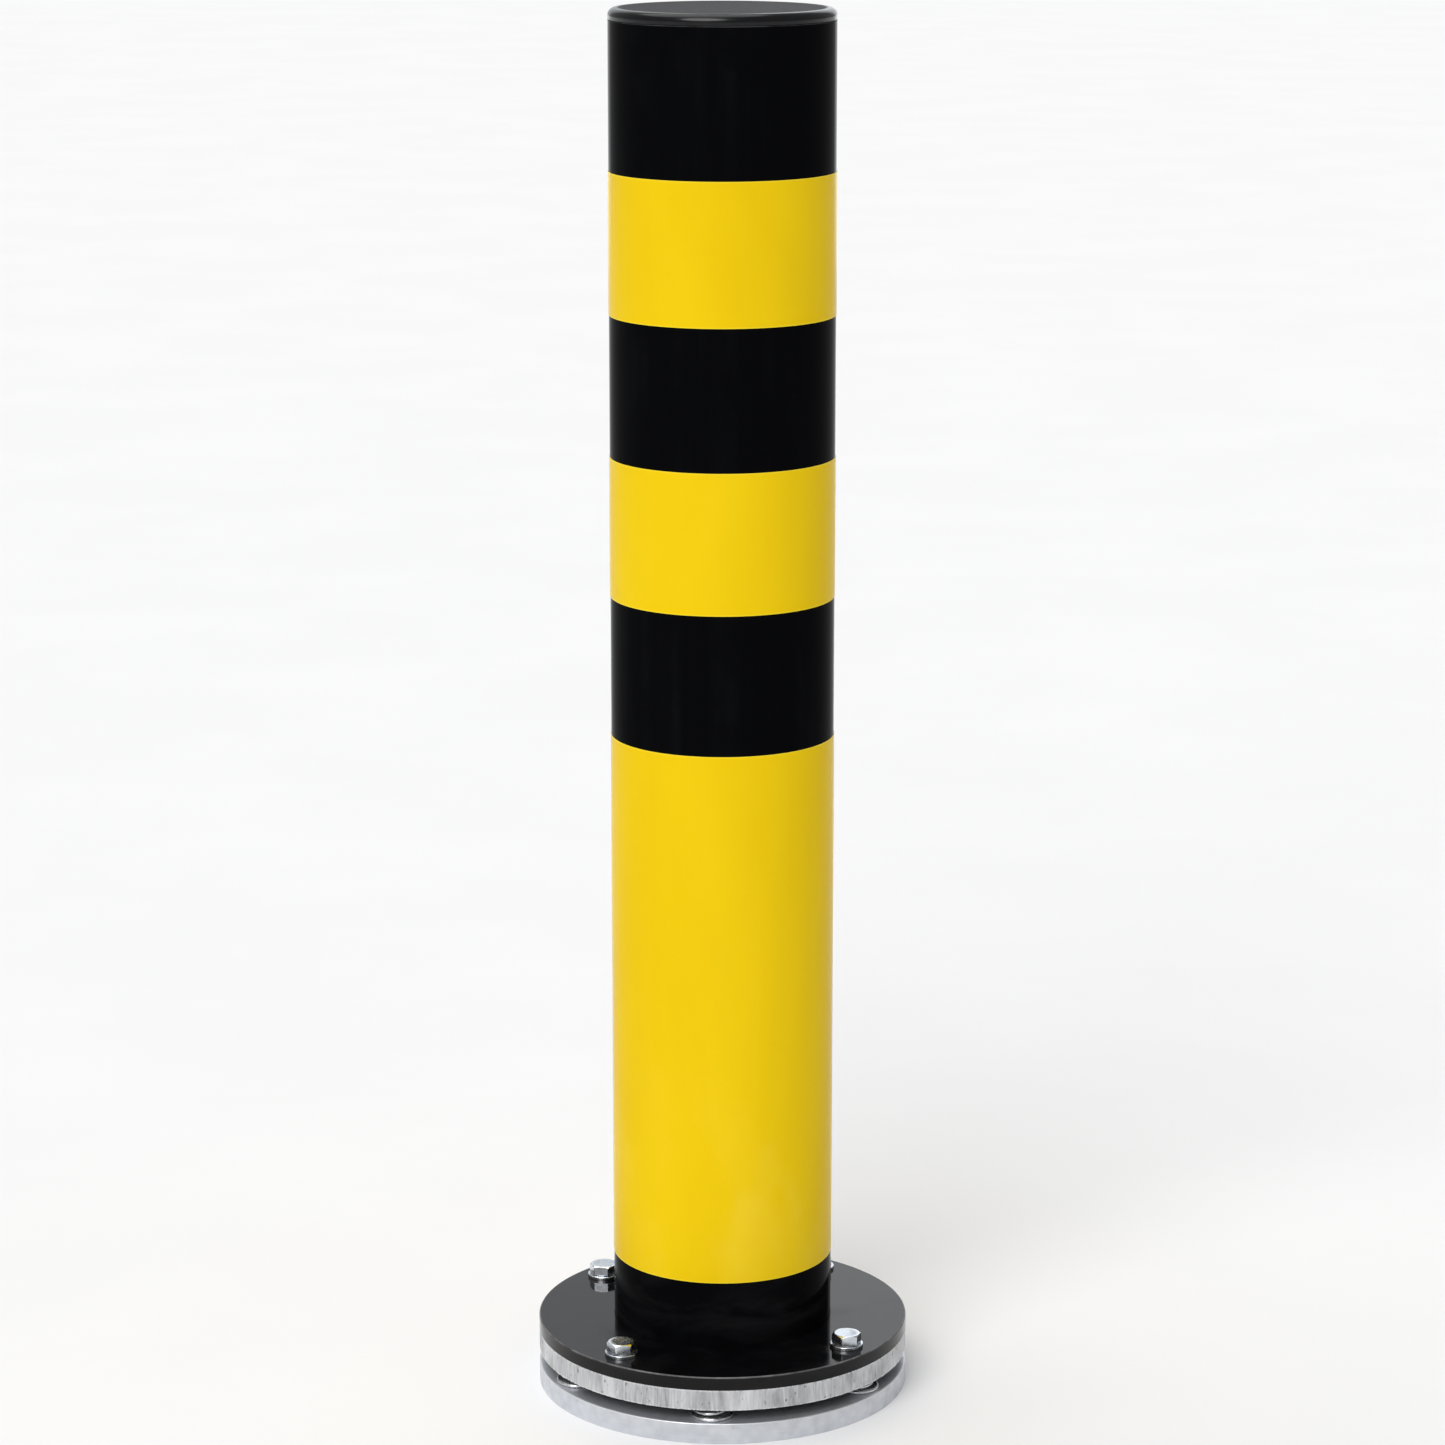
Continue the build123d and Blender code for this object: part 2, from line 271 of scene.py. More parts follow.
def grain(tree, vector, scale, detail=4.0, distortion=0.0):
    """Noise from 0 to 1, about 0.5 on average."""
    return add_node(tree, "ShaderNodeTexNoise", {"noise_dimensions": "3D"}, Vector=vector, Scale=scale,
                    Detail=detail, Roughness=0.55, Distortion=distortion).outputs["Fac"]


def remap(tree, value, low, high, new_low, new_high, smooth=False):
    """A value's range moved to another range and held within it."""
    settings = {"clamp": True, "interpolation_type": "SMOOTHSTEP" if smooth else "LINEAR"}
    node = add_node(tree, "ShaderNodeMapRange", settings, Value=value)
    for key, number in (("From Min", low), ("From Max", high), ("To Min", new_low), ("To Max", new_high)):
        node.inputs[key].default_value = number
    return node.outputs["Result"]


def maths(tree, operation, first, second=0.5):
    """One arithmetic node."""
    node = tree.nodes.new("ShaderNodeMath")
    node.operation = operation
    for socket, value in zip(node.inputs, (first, second)):
        if isinstance(value, bpy.types.NodeSocket):
            tree.links.new(value, socket)
        else:
            socket.default_value = value
    return node.outputs[0]


def blend_colours(tree, share, first, second):
    """The first colour where share is 0 and the second where it is 1."""
    node = tree.nodes.new("ShaderNodeMix")
    node.data_type = "RGBA"
    tree.links.new(share, node.inputs[0])
    for socket, value in ((node.inputs[6], first), (node.inputs[7], second)):
        if isinstance(value, bpy.types.NodeSocket):
            tree.links.new(value, socket)
        else:
            socket.default_value = (*value, 1)
    return node.outputs[2]


def blend_numbers(tree, share, first, second):
    """The first number where share is 0 and the second where it is 1."""
    node = add_node(tree, "ShaderNodeMix", {"data_type": "FLOAT"}, Factor=share, A=first, B=second)
    return node.outputs["Result"]


def bump(tree, height, strength, distance, below=None):
    """A bump, on top of another one if it is given."""
    node = add_node(tree, "ShaderNodeBump", Height=height, Strength=strength, Distance=distance)
    if below is not None:
        tree.links.new(below, node.inputs["Normal"])
    return node.outputs["Normal"]


def near_height(tree, place, height, reach):
    """1 at a height in the object's frame, falling to 0 at reach away."""
    z = add_node(tree, "ShaderNodeSeparateXYZ", Vector=place).outputs["Z"]
    away = maths(tree, "ABSOLUTE", maths(tree, "SUBTRACT", z, height))
    return remap(tree, away, 0, reach, 1, 0, smooth=True)


def beyond_radius(tree, place, start, end):
    """0 inside a radius from the object's axis, rising to 1 at a larger one."""
    flat = stretched(tree, place, 1, 1, 0)
    length = add_node(tree, "ShaderNodeVectorMath", {"operation": "LENGTH"}, Vector=flat).outputs["Value"]
    return remap(tree, length, start, end, 0, 1, smooth=True)


def attribute(tree, name):
    """A number kept on the mesh's own points."""
    return add_node(tree, "ShaderNodeAttribute", {"attribute_name": name}).outputs["Fac"]


# ---------------------------------------------------------------- materials


def gloss_black(name, ior):
    """High-gloss black powder coat: fine orange peel, faint vertical streaks painted as a reflection, and
    thin worn edges that are partly a painted highlight line.
    """
    wiped_height, wiped_reach = flange_high.z + 18 * MM, 60 * MM
    material, tree, shader, place = new_material(name, IOR=ior)
    # Faint vertical streaks of lighter colour, where the smear noise also runs: a painted reflection.
    streaks = grain(tree, stretched(tree, place, 60, 60, 1.6), 1.0, detail=5)
    smears = grain(tree, place, 11.0, detail=6, distortion=1.2)
    painted_reflection_streaks = maths(tree, "MULTIPLY", remap(tree, streaks, 0.45, 0.72, 0, 1),
                 remap(tree, smears, 0.42, 0.7, 0, 1))
    body = blend_colours(tree, painted_reflection_streaks, (0.0023, 0.0024, 0.0029), (0.0052, 0.0055, 0.0064))
    foot = near_height(tree, place, wiped_height, wiped_reach)
    wiped = grain(tree, stretched(tree, place, 1, 1, 3.2), 16, detail=7, distortion=0.5)
    dust = maths(tree, "MULTIPLY", foot, remap(tree, wiped, 0.46, 0.72, 0, 1))
    body = blend_colours(tree, dust, body, (0.0100, 0.0102, 0.0110))
    # Pale chips along the flange's top edge and the tube's top edge: partly wear, partly a painted highlight
    # line along those edges.
    outermost = beyond_radius(tree, place, PLATE_RADIUS - 1.3 * MM, PLATE_RADIUS - 0.4 * MM)
    flange_edge = maths(tree, "MULTIPLY", outermost, near_height(tree, place, flange_high.z, 1.4 * MM))
    tube_edge = near_height(tree, place, tube_high.z, 0.9 * MM)
    edges = maths(tree, "MAXIMUM", flange_edge, maths(tree, "MULTIPLY", tube_edge, 0.35))
    patchy = remap(tree, grain(tree, place, 70, detail=8), 0.36, 0.62, 0.30, 1)
    chips_and_highlight_line = maths(tree, "MULTIPLY", edges, patchy)
    colour = blend_colours(tree, chips_and_highlight_line, body, (0.19, 0.19, 0.20))
    tree.links.new(colour, shader.inputs["Base Color"])
    gloss = maths(tree, "ADD", remap(tree, smears, 0.3, 0.75, 0.035, 0.10),
                  remap(tree, dust, 0, 1, 0, 0.25))
    tree.links.new(gloss, shader.inputs["Roughness"])
    peel = bump(tree, grain(tree, place, 480, detail=2), 0.10, 0.05 * MM)
    waves = bump(tree, grain(tree, stretched(tree, place, 1, 1, 0.3), 26, detail=1), 0.08, 0.4 * MM, peel)
    tree.links.new(waves, shader.inputs["Normal"])
    return material


def flange_coating():
    """The thicker, glossier coat on the flange."""
    return gloss_black("flange_coating", 1.30)


def post_coating():
    """The coat on the post, which mirrors less."""
    return gloss_black("post_coating", 1.045)


def yellow_film():
    """Glossy yellow film with slight shade changes, dark specks, a painted highlight line along the band
    edges and a faint painted hazy highlight low down.
    """
    hazy_highlight_height, hazy_highlight_reach = 155 * MM, 120 * MM
    material, tree, shader, place = new_material("yellow_film", IOR=1.10)
    cloudy = grain(tree, stretched(tree, place, 1, 1, 0.35), 9, detail=4, distortion=0.6)
    shade = remap(tree, cloudy, 0.3, 0.7, 0, 1)
    body = blend_colours(tree, shade, (0.81, 0.540, 0.0035), (0.87, 0.600, 0.0065))
    # Lighter yellow patches low down: a painted hazy highlight.
    drifts = grain(tree, stretched(tree, place, 1, 1, 0.5), 14, detail=5)
    hazy_highlight = maths(tree, "MULTIPLY", near_height(tree, place, hazy_highlight_height, hazy_highlight_reach),
                 remap(tree, drifts, 0.48, 0.72, 0, 0.5))
    body = blend_colours(tree, hazy_highlight, body, (0.92, 0.68, 0.06))
    specks = remap(tree, grain(tree, place, 700, detail=3), 0.70, 0.76, 0, 0.35)
    body = blend_colours(tree, specks, body, (0.45, 0.29, 0.01))
    # Paler yellow along each band's top and bottom edge: a painted highlight line.
    ends = None
    for node in BANDS:
        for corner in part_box(node):
            end = near_height(tree, place, corner.z, 1.0 * MM)
            ends = end if ends is None else maths(tree, "MAXIMUM", ends, end)
    body = blend_colours(tree, maths(tree, "MULTIPLY", ends, 0.7), body, (1.0, 0.78, 0.05))
    tree.links.new(body, shader.inputs["Base Color"])
    tree.links.new(remap(tree, cloudy, 0.25, 0.75, 0.16, 0.26), shader.inputs["Roughness"])
    peel = bump(tree, grain(tree, place, 420, detail=2), 0.10, 0.05 * MM)
    waves = bump(tree, grain(tree, stretched(tree, place, 1, 1, 0.25), 22, detail=1), 0.08, 0.5 * MM, peel)
    tree.links.new(waves, shader.inputs["Normal"])
    return material


def cap_plastic():
    """Black moulded plastic: a fine dull grain on the flat, and a rim that has been rubbed glossy."""
    material, tree, shader, place = new_material("cap_plastic", IOR=1.38)
    cells = add_node(tree, "ShaderNodeTexVoronoi", {"feature": "SMOOTH_F1"}, Vector=place, Scale=1100.0)
    texture = maths(tree, "ADD", cells.outputs["Distance"], grain(tree, place, 1700, detail=4))
    patches = remap(tree, grain(tree, place, 150, detail=6), 0.40, 0.75, 0, 1)
    body = blend_colours(tree, patches, (0.0030, 0.0032, 0.0040), (0.0050, 0.0053, 0.0064))
    dust = remap(tree, grain(tree, place, 900, detail=4), 0.62, 0.74, 0, 0.5)
    tree.links.new(blend_colours(tree, dust, body, (0.035, 0.035, 0.037)), shader.inputs["Base Color"])
    rim = beyond_radius(tree, place, TUBE_RADIUS - 9 * MM, TUBE_RADIUS - 6 * MM)
    flat_gloss = remap(tree, patches, 0, 1, 0.62, 0.57)
    rim_gloss = remap(tree, patches, 0, 1, 0.22, 0.15)
    tree.links.new(blend_numbers(tree, rim, flat_gloss, rim_gloss), shader.inputs["Roughness"])
    smooth = remap(tree, rim, 0, 1, 0.45, 0.05)
    tree.links.new(bump(tree, texture, smooth, 0.06 * MM), shader.inputs["Normal"])
    return material


def flame_cut_steel():
    """Raw plate: pale drag lines down the cut edge, dark scale specks and bright ridges at both edges."""
    material, tree, shader, place = new_material("flame_cut_steel", Metallic=0.72, IOR=1.5)
    lines = grain(tree, stretched(tree, place, 950, 950, 60), 1.0, detail=4, distortion=0.3)
    broad = grain(tree, stretched(tree, place, 90, 90, 40), 1.0, detail=5)
    body = blend_colours(tree, remap(tree, lines, 0.33, 0.66, 0, 1), (0.42, 0.43, 0.45), (0.68, 0.69, 0.715))
    body = blend_colours(tree, remap(tree, broad, 0.45, 0.75, 0, 0.45), body, (0.40, 0.405, 0.42))
    smears = grain(tree, stretched(tree, place, 48, 48, 14), 1.0, detail=6, distortion=0.5)
    body = blend_colours(tree, remap(tree, smears, 0.51, 0.70, 0, 0.85), body, (0.17, 0.17, 0.18))
    pale = grain(tree, stretched(tree, place, 30, 30, 8), 1.0, detail=4)
    body = blend_colours(tree, remap(tree, pale, 0.52, 0.66, 0, 0.6), body, (0.82, 0.83, 0.85))
    flecks = grain(tree, stretched(tree, place, 300, 300, 120), 1.0, detail=7)
    body = blend_colours(tree, remap(tree, flecks, 0.64, 0.78, 0, 0.6), body, (0.055, 0.053, 0.052))
    pits = attribute(tree, "pit")
    body = blend_colours(tree, pits, body, (0.10, 0.098, 0.096))
    ridge = attribute(tree, "ridge")
    body = blend_colours(tree, ridge, body, (0.82, 0.83, 0.85))
    outermost = beyond_radius(tree, place, PLATE_RADIUS - 3.0 * MM, PLATE_RADIUS - 1.2 * MM)
    inner = maths(tree, "SUBTRACT", 1.0, outermost)
    blotches = grain(tree, place, 60, detail=8, distortion=1.0)
    mill_scale = blend_colours(tree, blotches, (0.10, 0.105, 0.115), (0.23, 0.235, 0.25))
    tree.links.new(blend_colours(tree, inner, body, mill_scale), shader.inputs["Base Color"])
    tree.links.new(remap(tree, lines, 0.3, 0.7, 0.36, 0.55), shader.inputs["Roughness"])
    tree.links.new(bump(tree, lines, 0.35, 0.12 * MM), shader.inputs["Normal"])
    return material


def zinc_plate():
    """Zinc-grey base plate: soft crystalline patches, fine turning lines on the edge and a worn corner."""
    material, tree, shader, place = new_material("zinc_plate", Metallic=0.65, IOR=1.5)
    patches = add_node(tree, "ShaderNodeTexVoronoi", {"feature": "SMOOTH_F1"}, Vector=place, Scale=150.0)
    shade = maths(tree, "MULTIPLY", patches.outputs["Distance"], grain(tree, place, 45, detail=6))
    body = blend_colours(tree, remap(tree, shade, 0.08, 0.42, 0, 1), (0.66, 0.68, 0.72), (0.55, 0.57, 0.61))
    around = grain(tree, stretched(tree, place, 18, 18, 900), 1.0, detail=3)
    body = blend_colours(tree, remap(tree, around, 0.4, 0.7, 0, 0.3), body, (0.72, 0.74, 0.78))
    stains = remap(tree, grain(tree, place, 130, detail=7, distortion=0.7), 0.60, 0.74, 0, 0.35)
    body = blend_colours(tree, stains, body, (0.30, 0.31, 0.33))
    outermost = beyond_radius(tree, place, PLATE_RADIUS - 1.8 * MM, PLATE_RADIUS - 0.6 * MM)
    worn = maths(tree, "MULTIPLY", outermost, near_height(tree, place, base_high.z, 1.1 * MM))
    tree.links.new(blend_colours(tree, worn, body, (0.80, 0.81, 0.83)), shader.inputs["Base Color"])
    tree.links.new(remap(tree, shade, 0.05, 0.45, 0.34, 0.50), shader.inputs["Roughness"])
    turning = bump(tree, around, 0.12, 0.05 * MM)
    texture = bump(tree, grain(tree, place, 260, detail=5), 0.15, 0.08 * MM, turning)
    tree.links.new(texture, shader.inputs["Normal"])
    return material


def bright_zinc():
    """Blue-white zinc on the bolts and washers, with rolling marks, dull flecks and polished edges."""
    material, tree, shader, place = new_material("bright_zinc", Metallic=1.0)
    flecks = grain(tree, place, 420, detail=6, distortion=0.5)
    broad = grain(tree, place, 90, detail=3)
    tint = blend_colours(tree, remap(tree, broad, 0.35, 0.65, 0, 1), (0.56, 0.61, 0.69), (0.74, 0.76, 0.77))
    body = blend_colours(tree, remap(tree, flecks, 0.58, 0.78, 0, 0.4), tint, (0.38, 0.40, 0.44))
    edges = attribute(tree, "edge")
    tree.links.new(blend_colours(tree, edges, body, (0.92, 0.93, 0.94)), shader.inputs["Base Color"])
    rough = maths(tree, "SUBTRACT", remap(tree, flecks, 0.3, 0.7, 0.16, 0.30),
                  maths(tree, "MULTIPLY", edges, 0.06))
    tree.links.new(rough, shader.inputs["Roughness"])
    tree.links.new(bump(tree, flecks, 0.12, 0.05 * MM), shader.inputs["Normal"])
    return material


def spring_steel():
    """Bright drawn spring wire with fine die lines and a trace of grey in the hollows."""
    material, tree, shader, place = new_material("spring_steel", Metallic=1.0)
    die = grain(tree, stretched(tree, place, 260, 260, 1400), 1.0, detail=4)
    patches = grain(tree, place, 210, detail=5)
    body = blend_colours(tree, remap(tree, patches, 0.4, 0.7, 0, 1), (0.80, 0.80, 0.81), (0.52, 0.52, 0.54))
    tree.links.new(body, shader.inputs["Base Color"])
    tree.links.new(remap(tree, die, 0.3, 0.7, 0.20, 0.36), shader.inputs["Roughness"])
    tree.links.new(bump(tree, die, 0.15, 0.04 * MM), shader.inputs["Normal"])
    return material


def ground_steel():
    """Turned and ground steel of the ball stud and the pins."""
    material, tree, shader, place = new_material("ground_steel", Metallic=1.0)
    turning = grain(tree, stretched(tree, place, 30, 30, 1500), 1.0, detail=3)
    oil = grain(tree, place, 70, detail=6, distortion=0.6)
    body = blend_colours(tree, remap(tree, oil, 0.4, 0.7, 0, 1), (0.56, 0.56, 0.57), (0.34, 0.33, 0.32))
    tree.links.new(body, shader.inputs["Base Color"])
    tree.links.new(remap(tree, turning, 0.3, 0.7, 0.18, 0.34), shader.inputs["Roughness"])
    tree.links.new(bump(tree, turning, 0.2, 0.04 * MM), shader.inputs["Normal"])
    return material


def liner_plastic():
    """Off-white bearing plastic of the liner shells."""
    material, tree, shader, place = new_material("liner_plastic", IOR=1.45, Subsurface_Weight=0.05)
    cloudy = grain(tree, place, 120, detail=5)
    body = blend_colours(tree, remap(tree, cloudy, 0.35, 0.7, 0, 1), (0.68, 0.65, 0.57), (0.56, 0.53, 0.46))
    tree.links.new(body, shader.inputs["Base Color"])
    tree.links.new(remap(tree, cloudy, 0.3, 0.7, 0.30, 0.45), shader.inputs["Roughness"])
    tree.links.new(bump(tree, grain(tree, place, 900, detail=3), 0.1, 0.05 * MM), shader.inputs["Normal"])
    return material


def dark_steel():
    """Black-oxide steel of the socket cap, its screws and the coated weld."""
    material, tree, shader, place = new_material("dark_steel", Metallic=0.6, IOR=1.5)
    cloudy = grain(tree, place, 80, detail=7, distortion=0.6)
    shade = remap(tree, cloudy, 0.4, 0.7, 0, 1)
    body = blend_colours(tree, shade, (0.030, 0.030, 0.033), (0.075, 0.073, 0.072))
    tree.links.new(body, shader.inputs["Base Color"])
    tree.links.new(remap(tree, cloudy, 0.3, 0.7, 0.32, 0.5), shader.inputs["Roughness"])
    tree.links.new(bump(tree, grain(tree, place, 500, detail=5), 0.2, 0.06 * MM), shader.inputs["Normal"])
    return material


MATERIALS = {make.__name__: make() for make in (
    flange_coating, post_coating, yellow_film, cap_plastic, flame_cut_steel, zinc_plate, bright_zinc,
    spring_steel, ground_steel, liner_plastic, dark_steel)}


def paint(piece, name):
    """Give a piece or a CAD node its one material."""
    piece.data.materials.clear()
    piece.data.materials.append(MATERIALS[name])


# ---------------------------------------------------------------- plates


def base_plate():
    """Disc with a soft top corner, countersunk anchor holes, two pin holes and the stud's hole."""
    corner = 0.7 * MM
    foot_corner = 0.3 * MM
    low, high = base_low.z, base_high.z
    profile = [(0, low), (PLATE_RADIUS - foot_corner, low)]
    profile += [(PLATE_RADIUS, low + foot_corner)]
    profile += arc(PLATE_RADIUS - corner, high - corner, corner, 0, 90, 5)
    profile += [(STUD_HOLE, high), (STUD_HOLE, low + STUD_FLOOR), (0, low + STUD_FLOOR)]
    piece = new_piece("base_plate_finished", lathe("base_plate", profile, PLATE_SEGMENTS, loop=False),
                      "base", "base_plate")
    cutters = []
    for x, y in places(ANCHORS):
        cutters.append(drill(x, y, low - SPARE, high, ANCHOR_HOLE, ANCHOR_SINK, ANCHOR_SINK_DEPTH))
    for x, y in places(PINS):
        cutters.append(drill(x, y, low + PIN_FLOOR, high + SPARE, PIN_HOLE))
    cut(piece, cutters)
    finish_edges(piece)
    paint(piece, "zinc_plate")


def cut_edge(angle, height_share):
    """The flame-cut edge at an angle and a share of the plate's height: how far it lies inside the full
    radius, and how much of it is a pit and a ridge. The noise is read round a circle of its own."""
    noise_circle = 128
    corner_zone, ridge_zone = 0.035, 0.09
    lag = 1.1 * (1 - height_share) ** 2
    at = Vector((math.cos(angle) * noise_circle, math.sin(angle) * noise_circle, 0))
    drag = noise.noise(Vector((at.x * 0.9 + lag, at.y * 0.9 + lag, height_share * 0.9)))
    fine = noise.noise(Vector((at.x * 2.3 + lag, at.y * 2.3, height_share * 2.2 + 7)))
    broad = noise.noise(Vector((at.x * 0.10, at.y * 0.10, 3 + height_share)))
    speck = noise.noise(Vector((at.x * 0.62 + 40, at.y * 0.62, height_share * 4.5 + 20)))
    pit = clamped((speck - 0.56) / 0.14)
    edge_distance = min(height_share, 1 - height_share)
    near = max(0.0, 1 - edge_distance / ridge_zone)
    burr = noise.noise(Vector((at.x * 0.75, at.y * 0.75, 60 + 8 * round(height_share))))
    ridge = near * clamped(0.55 + 1.6 * burr)
    inset = 0.16 + 0.13 * drag + 0.07 * fine + 0.10 * broad + 0.18 * pit - 0.12 * ridge
    inset += 0.40 * max(0.0, 1 - edge_distance / corner_zone) ** 2 * (1 - 0.8 * ridge)
    return max(0.0, inset) * MM, pit * (1 - ridge), ridge


def socket_radius_at(height):
    """Radius of the spherical socket at a height."""
    return math.sqrt(SOCKET_RADIUS**2 - (BALL_CENTRE - height) ** 2)


def tilt_plate():
    """Raw plate with a flame-cut edge made in the mesh, and its socket and holes."""
    low, high = tilt_low.z, tilt_high.z
    outer = PLATE_RADIUS
    edge_support, support_start = 1 * MM, 3 * MM
    edge_zone = 0.9 * MM
    mouth_height = low + 2 * MM
    socket_steps = 8
    profile = [(outer - support_start, low), (outer - edge_support, low)]
    for row in range(CUT_EDGE_ROWS + 1):
        profile.append((outer, low + (high - low) * row / CUT_EDGE_ROWS))
    profile += [(outer - edge_support, high), (outer - support_start, high)]
    for step in range(socket_steps + 1):
        z = high + (mouth_height - high) * step / socket_steps
        profile.append((socket_radius_at(z), z))
    profile.append((socket_radius_at(mouth_height), low))
    marks = {}

    def place_key(angle, height):
        return round(angle, 5), round(height, 6)

    def shape(angle, radius, height):
        if radius < outer:
            return radius, height
        inset, pit, ridge = cut_edge(angle, (height - low) / (high - low))
        marks[place_key(angle, height)] = (pit, ridge)
        return radius - inset, height

    mesh = lathe("tilt_plate", profile, CUT_EDGE_SEGMENTS, shape=shape)
    pits, ridges = [], []
    for vertex in mesh.vertices:
        pit, ridge = 0.0, 0.0
        if vertex.co.xy.length > outer - edge_zone:
            angle = math.atan2(vertex.co.y, vertex.co.x) % math.tau
            pit, ridge = marks.get(place_key(angle, vertex.co.z), (0.0, 0.0))
        pits.append(pit)
        ridges.append(ridge)
    mesh.attributes.new("pit", "FLOAT", "POINT").data.foreach_set("value", pits)
    mesh.attributes.new("ridge", "FLOAT", "POINT").data.foreach_set("value", ridges)
    piece = new_piece("tilt_plate_finished", mesh, "post", "tilt_plate")
    cutters = []
    for ring, radius, top in (
        (ANCHORS, ANCHOR_ACCESS, high + SPARE),
        (PINS, PIN_SOCKET, low + PIN_SOCKET_DEPTH),
        (BOLTS, BOLT_THREAD, high + SPARE),
        (SCREWS, SCREW_THREAD, high + SPARE),
    ):
        for x, y in places(ring):
            cutters.append(drill(x, y, low - SPARE, top, radius))
    cut(piece, cutters)
    piece.data.set_sharp_from_angle(angle=math.radians(50))
    paint(piece, "flame_cut_steel")


def flange_plate():
    """Black flange: a bored disc with a rounded top edge and four bolt holes."""
    edge = 1.0 * MM
    foot_edge = 0.3 * MM
    bore_clearance = 0.2 * MM
    low, high = flange_low.z, flange_high.z
    bore = TUBE_RADIUS + bore_clearance
    profile = [(bore, low), (PLATE_RADIUS - foot_edge, low), (PLATE_RADIUS, low + foot_edge)]
    profile += arc(PLATE_RADIUS - edge, high - edge, edge, 0, 90, 8)
    profile += [(bore, high)]
    piece = new_piece("flange_plate_finished", lathe("flange_plate", profile, PLATE_SEGMENTS),
                      "post", "flange_plate")
    cutters = []
    for x, y in places(BOLTS):
        cutters.append(drill(x, y, low - SPARE, high + SPARE, BOLT_CLEARANCE))
    cut(piece, cutters)
    finish_edges(piece)
    paint(piece, "flange_coating")


# ---------------------------------------------------------------- post


def post_tube():
    """Round tube with a small rounded edge at the top."""
    low, high = tube_low.z, tube_high.z
    corner = 0.6 * MM
    inner = TUBE_RADIUS - TUBE_WALL
    profile = [(inner, low), (TUBE_RADIUS, low), (TUBE_RADIUS, high - 2 * corner)]
    profile += arc(TUBE_RADIUS - corner, high - corner, corner, 0, 90, 4)
    profile += [(inner, high)]
    piece = new_piece("post_tube_finished", lathe("post_tube", profile, TUBE_SEGMENTS),
                      "post", "post_tube")
    finish_edges(piece)
    paint(piece, "post_coating")


def yellow_band(node):
    """A sleeve of film with soft edges; it laps over itself in a strip down the back."""
    low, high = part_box(node)
    thickness = 0.3 * MM
    lap = 0.12 * MM
    lap_width = math.radians(9)
    soft = 0.1 * MM
    inner = TUBE_RADIUS - 0.02 * MM
    outer = TUBE_RADIUS + thickness
    profile = [(inner, low.z), (outer - soft, low.z), (outer, low.z + soft)]
    profile += [(outer, high.z - soft), (outer - soft, high.z), (inner, high.z)]

    def shape(angle, radius, height):
        away = abs(angle - math.pi / 2)
        if radius > TUBE_RADIUS and away < lap_width:
            return radius + lap, height
        return radius, height

    mesh = lathe(node, profile, TUBE_SEGMENTS, shape=shape)
    piece = new_piece(node + "_finished", mesh, "post", node)
    finish_edges(piece, 25)
    paint(piece, "yellow_film")


def post_cap():
    """Cap with a rounded rim, a shallow dish on top, a shadow line under the rim and a plug skirt."""
    low, high = cap_low.z, cap_high.z
    outer = TUBE_RADIUS
    rim = 5.5 * MM
    seat = tube_high.z
    underside = seat + 0.05 * MM
    shadow = 0.35 * MM
    skirt = outer - TUBE_WALL - 0.15 * MM
    skirt_wall, skirt_corner = 3 * MM, 1 * MM
    dish = 0.35 * MM
    dish_radius = outer - 13 * MM
    profile = [(0, seat), (skirt - skirt_wall, seat), (skirt - skirt_wall, low)]
    profile += [(skirt - skirt_corner, low), (skirt, low + skirt_corner)]
    profile += [(skirt, underside), (outer - shadow, underside), (outer, underside + shadow)]
    profile += arc(outer - rim, high - rim, rim, 0, 90, 14)
    profile += [(dish_radius + 2 * MM, high), (dish_radius - 1 * MM, high - 0.35 * dish)]
    profile += [(dish_radius - 5 * MM, high - dish), (0, high - dish)]
    piece = new_piece("post_cap_finished", lathe("post_cap", profile, TUBE_SEGMENTS, loop=False),
                      "post", "post_cap")
    finish_edges(piece, 40)
    paint(piece, "cap_plastic")


# ---------------------------------------------------------------- fasteners


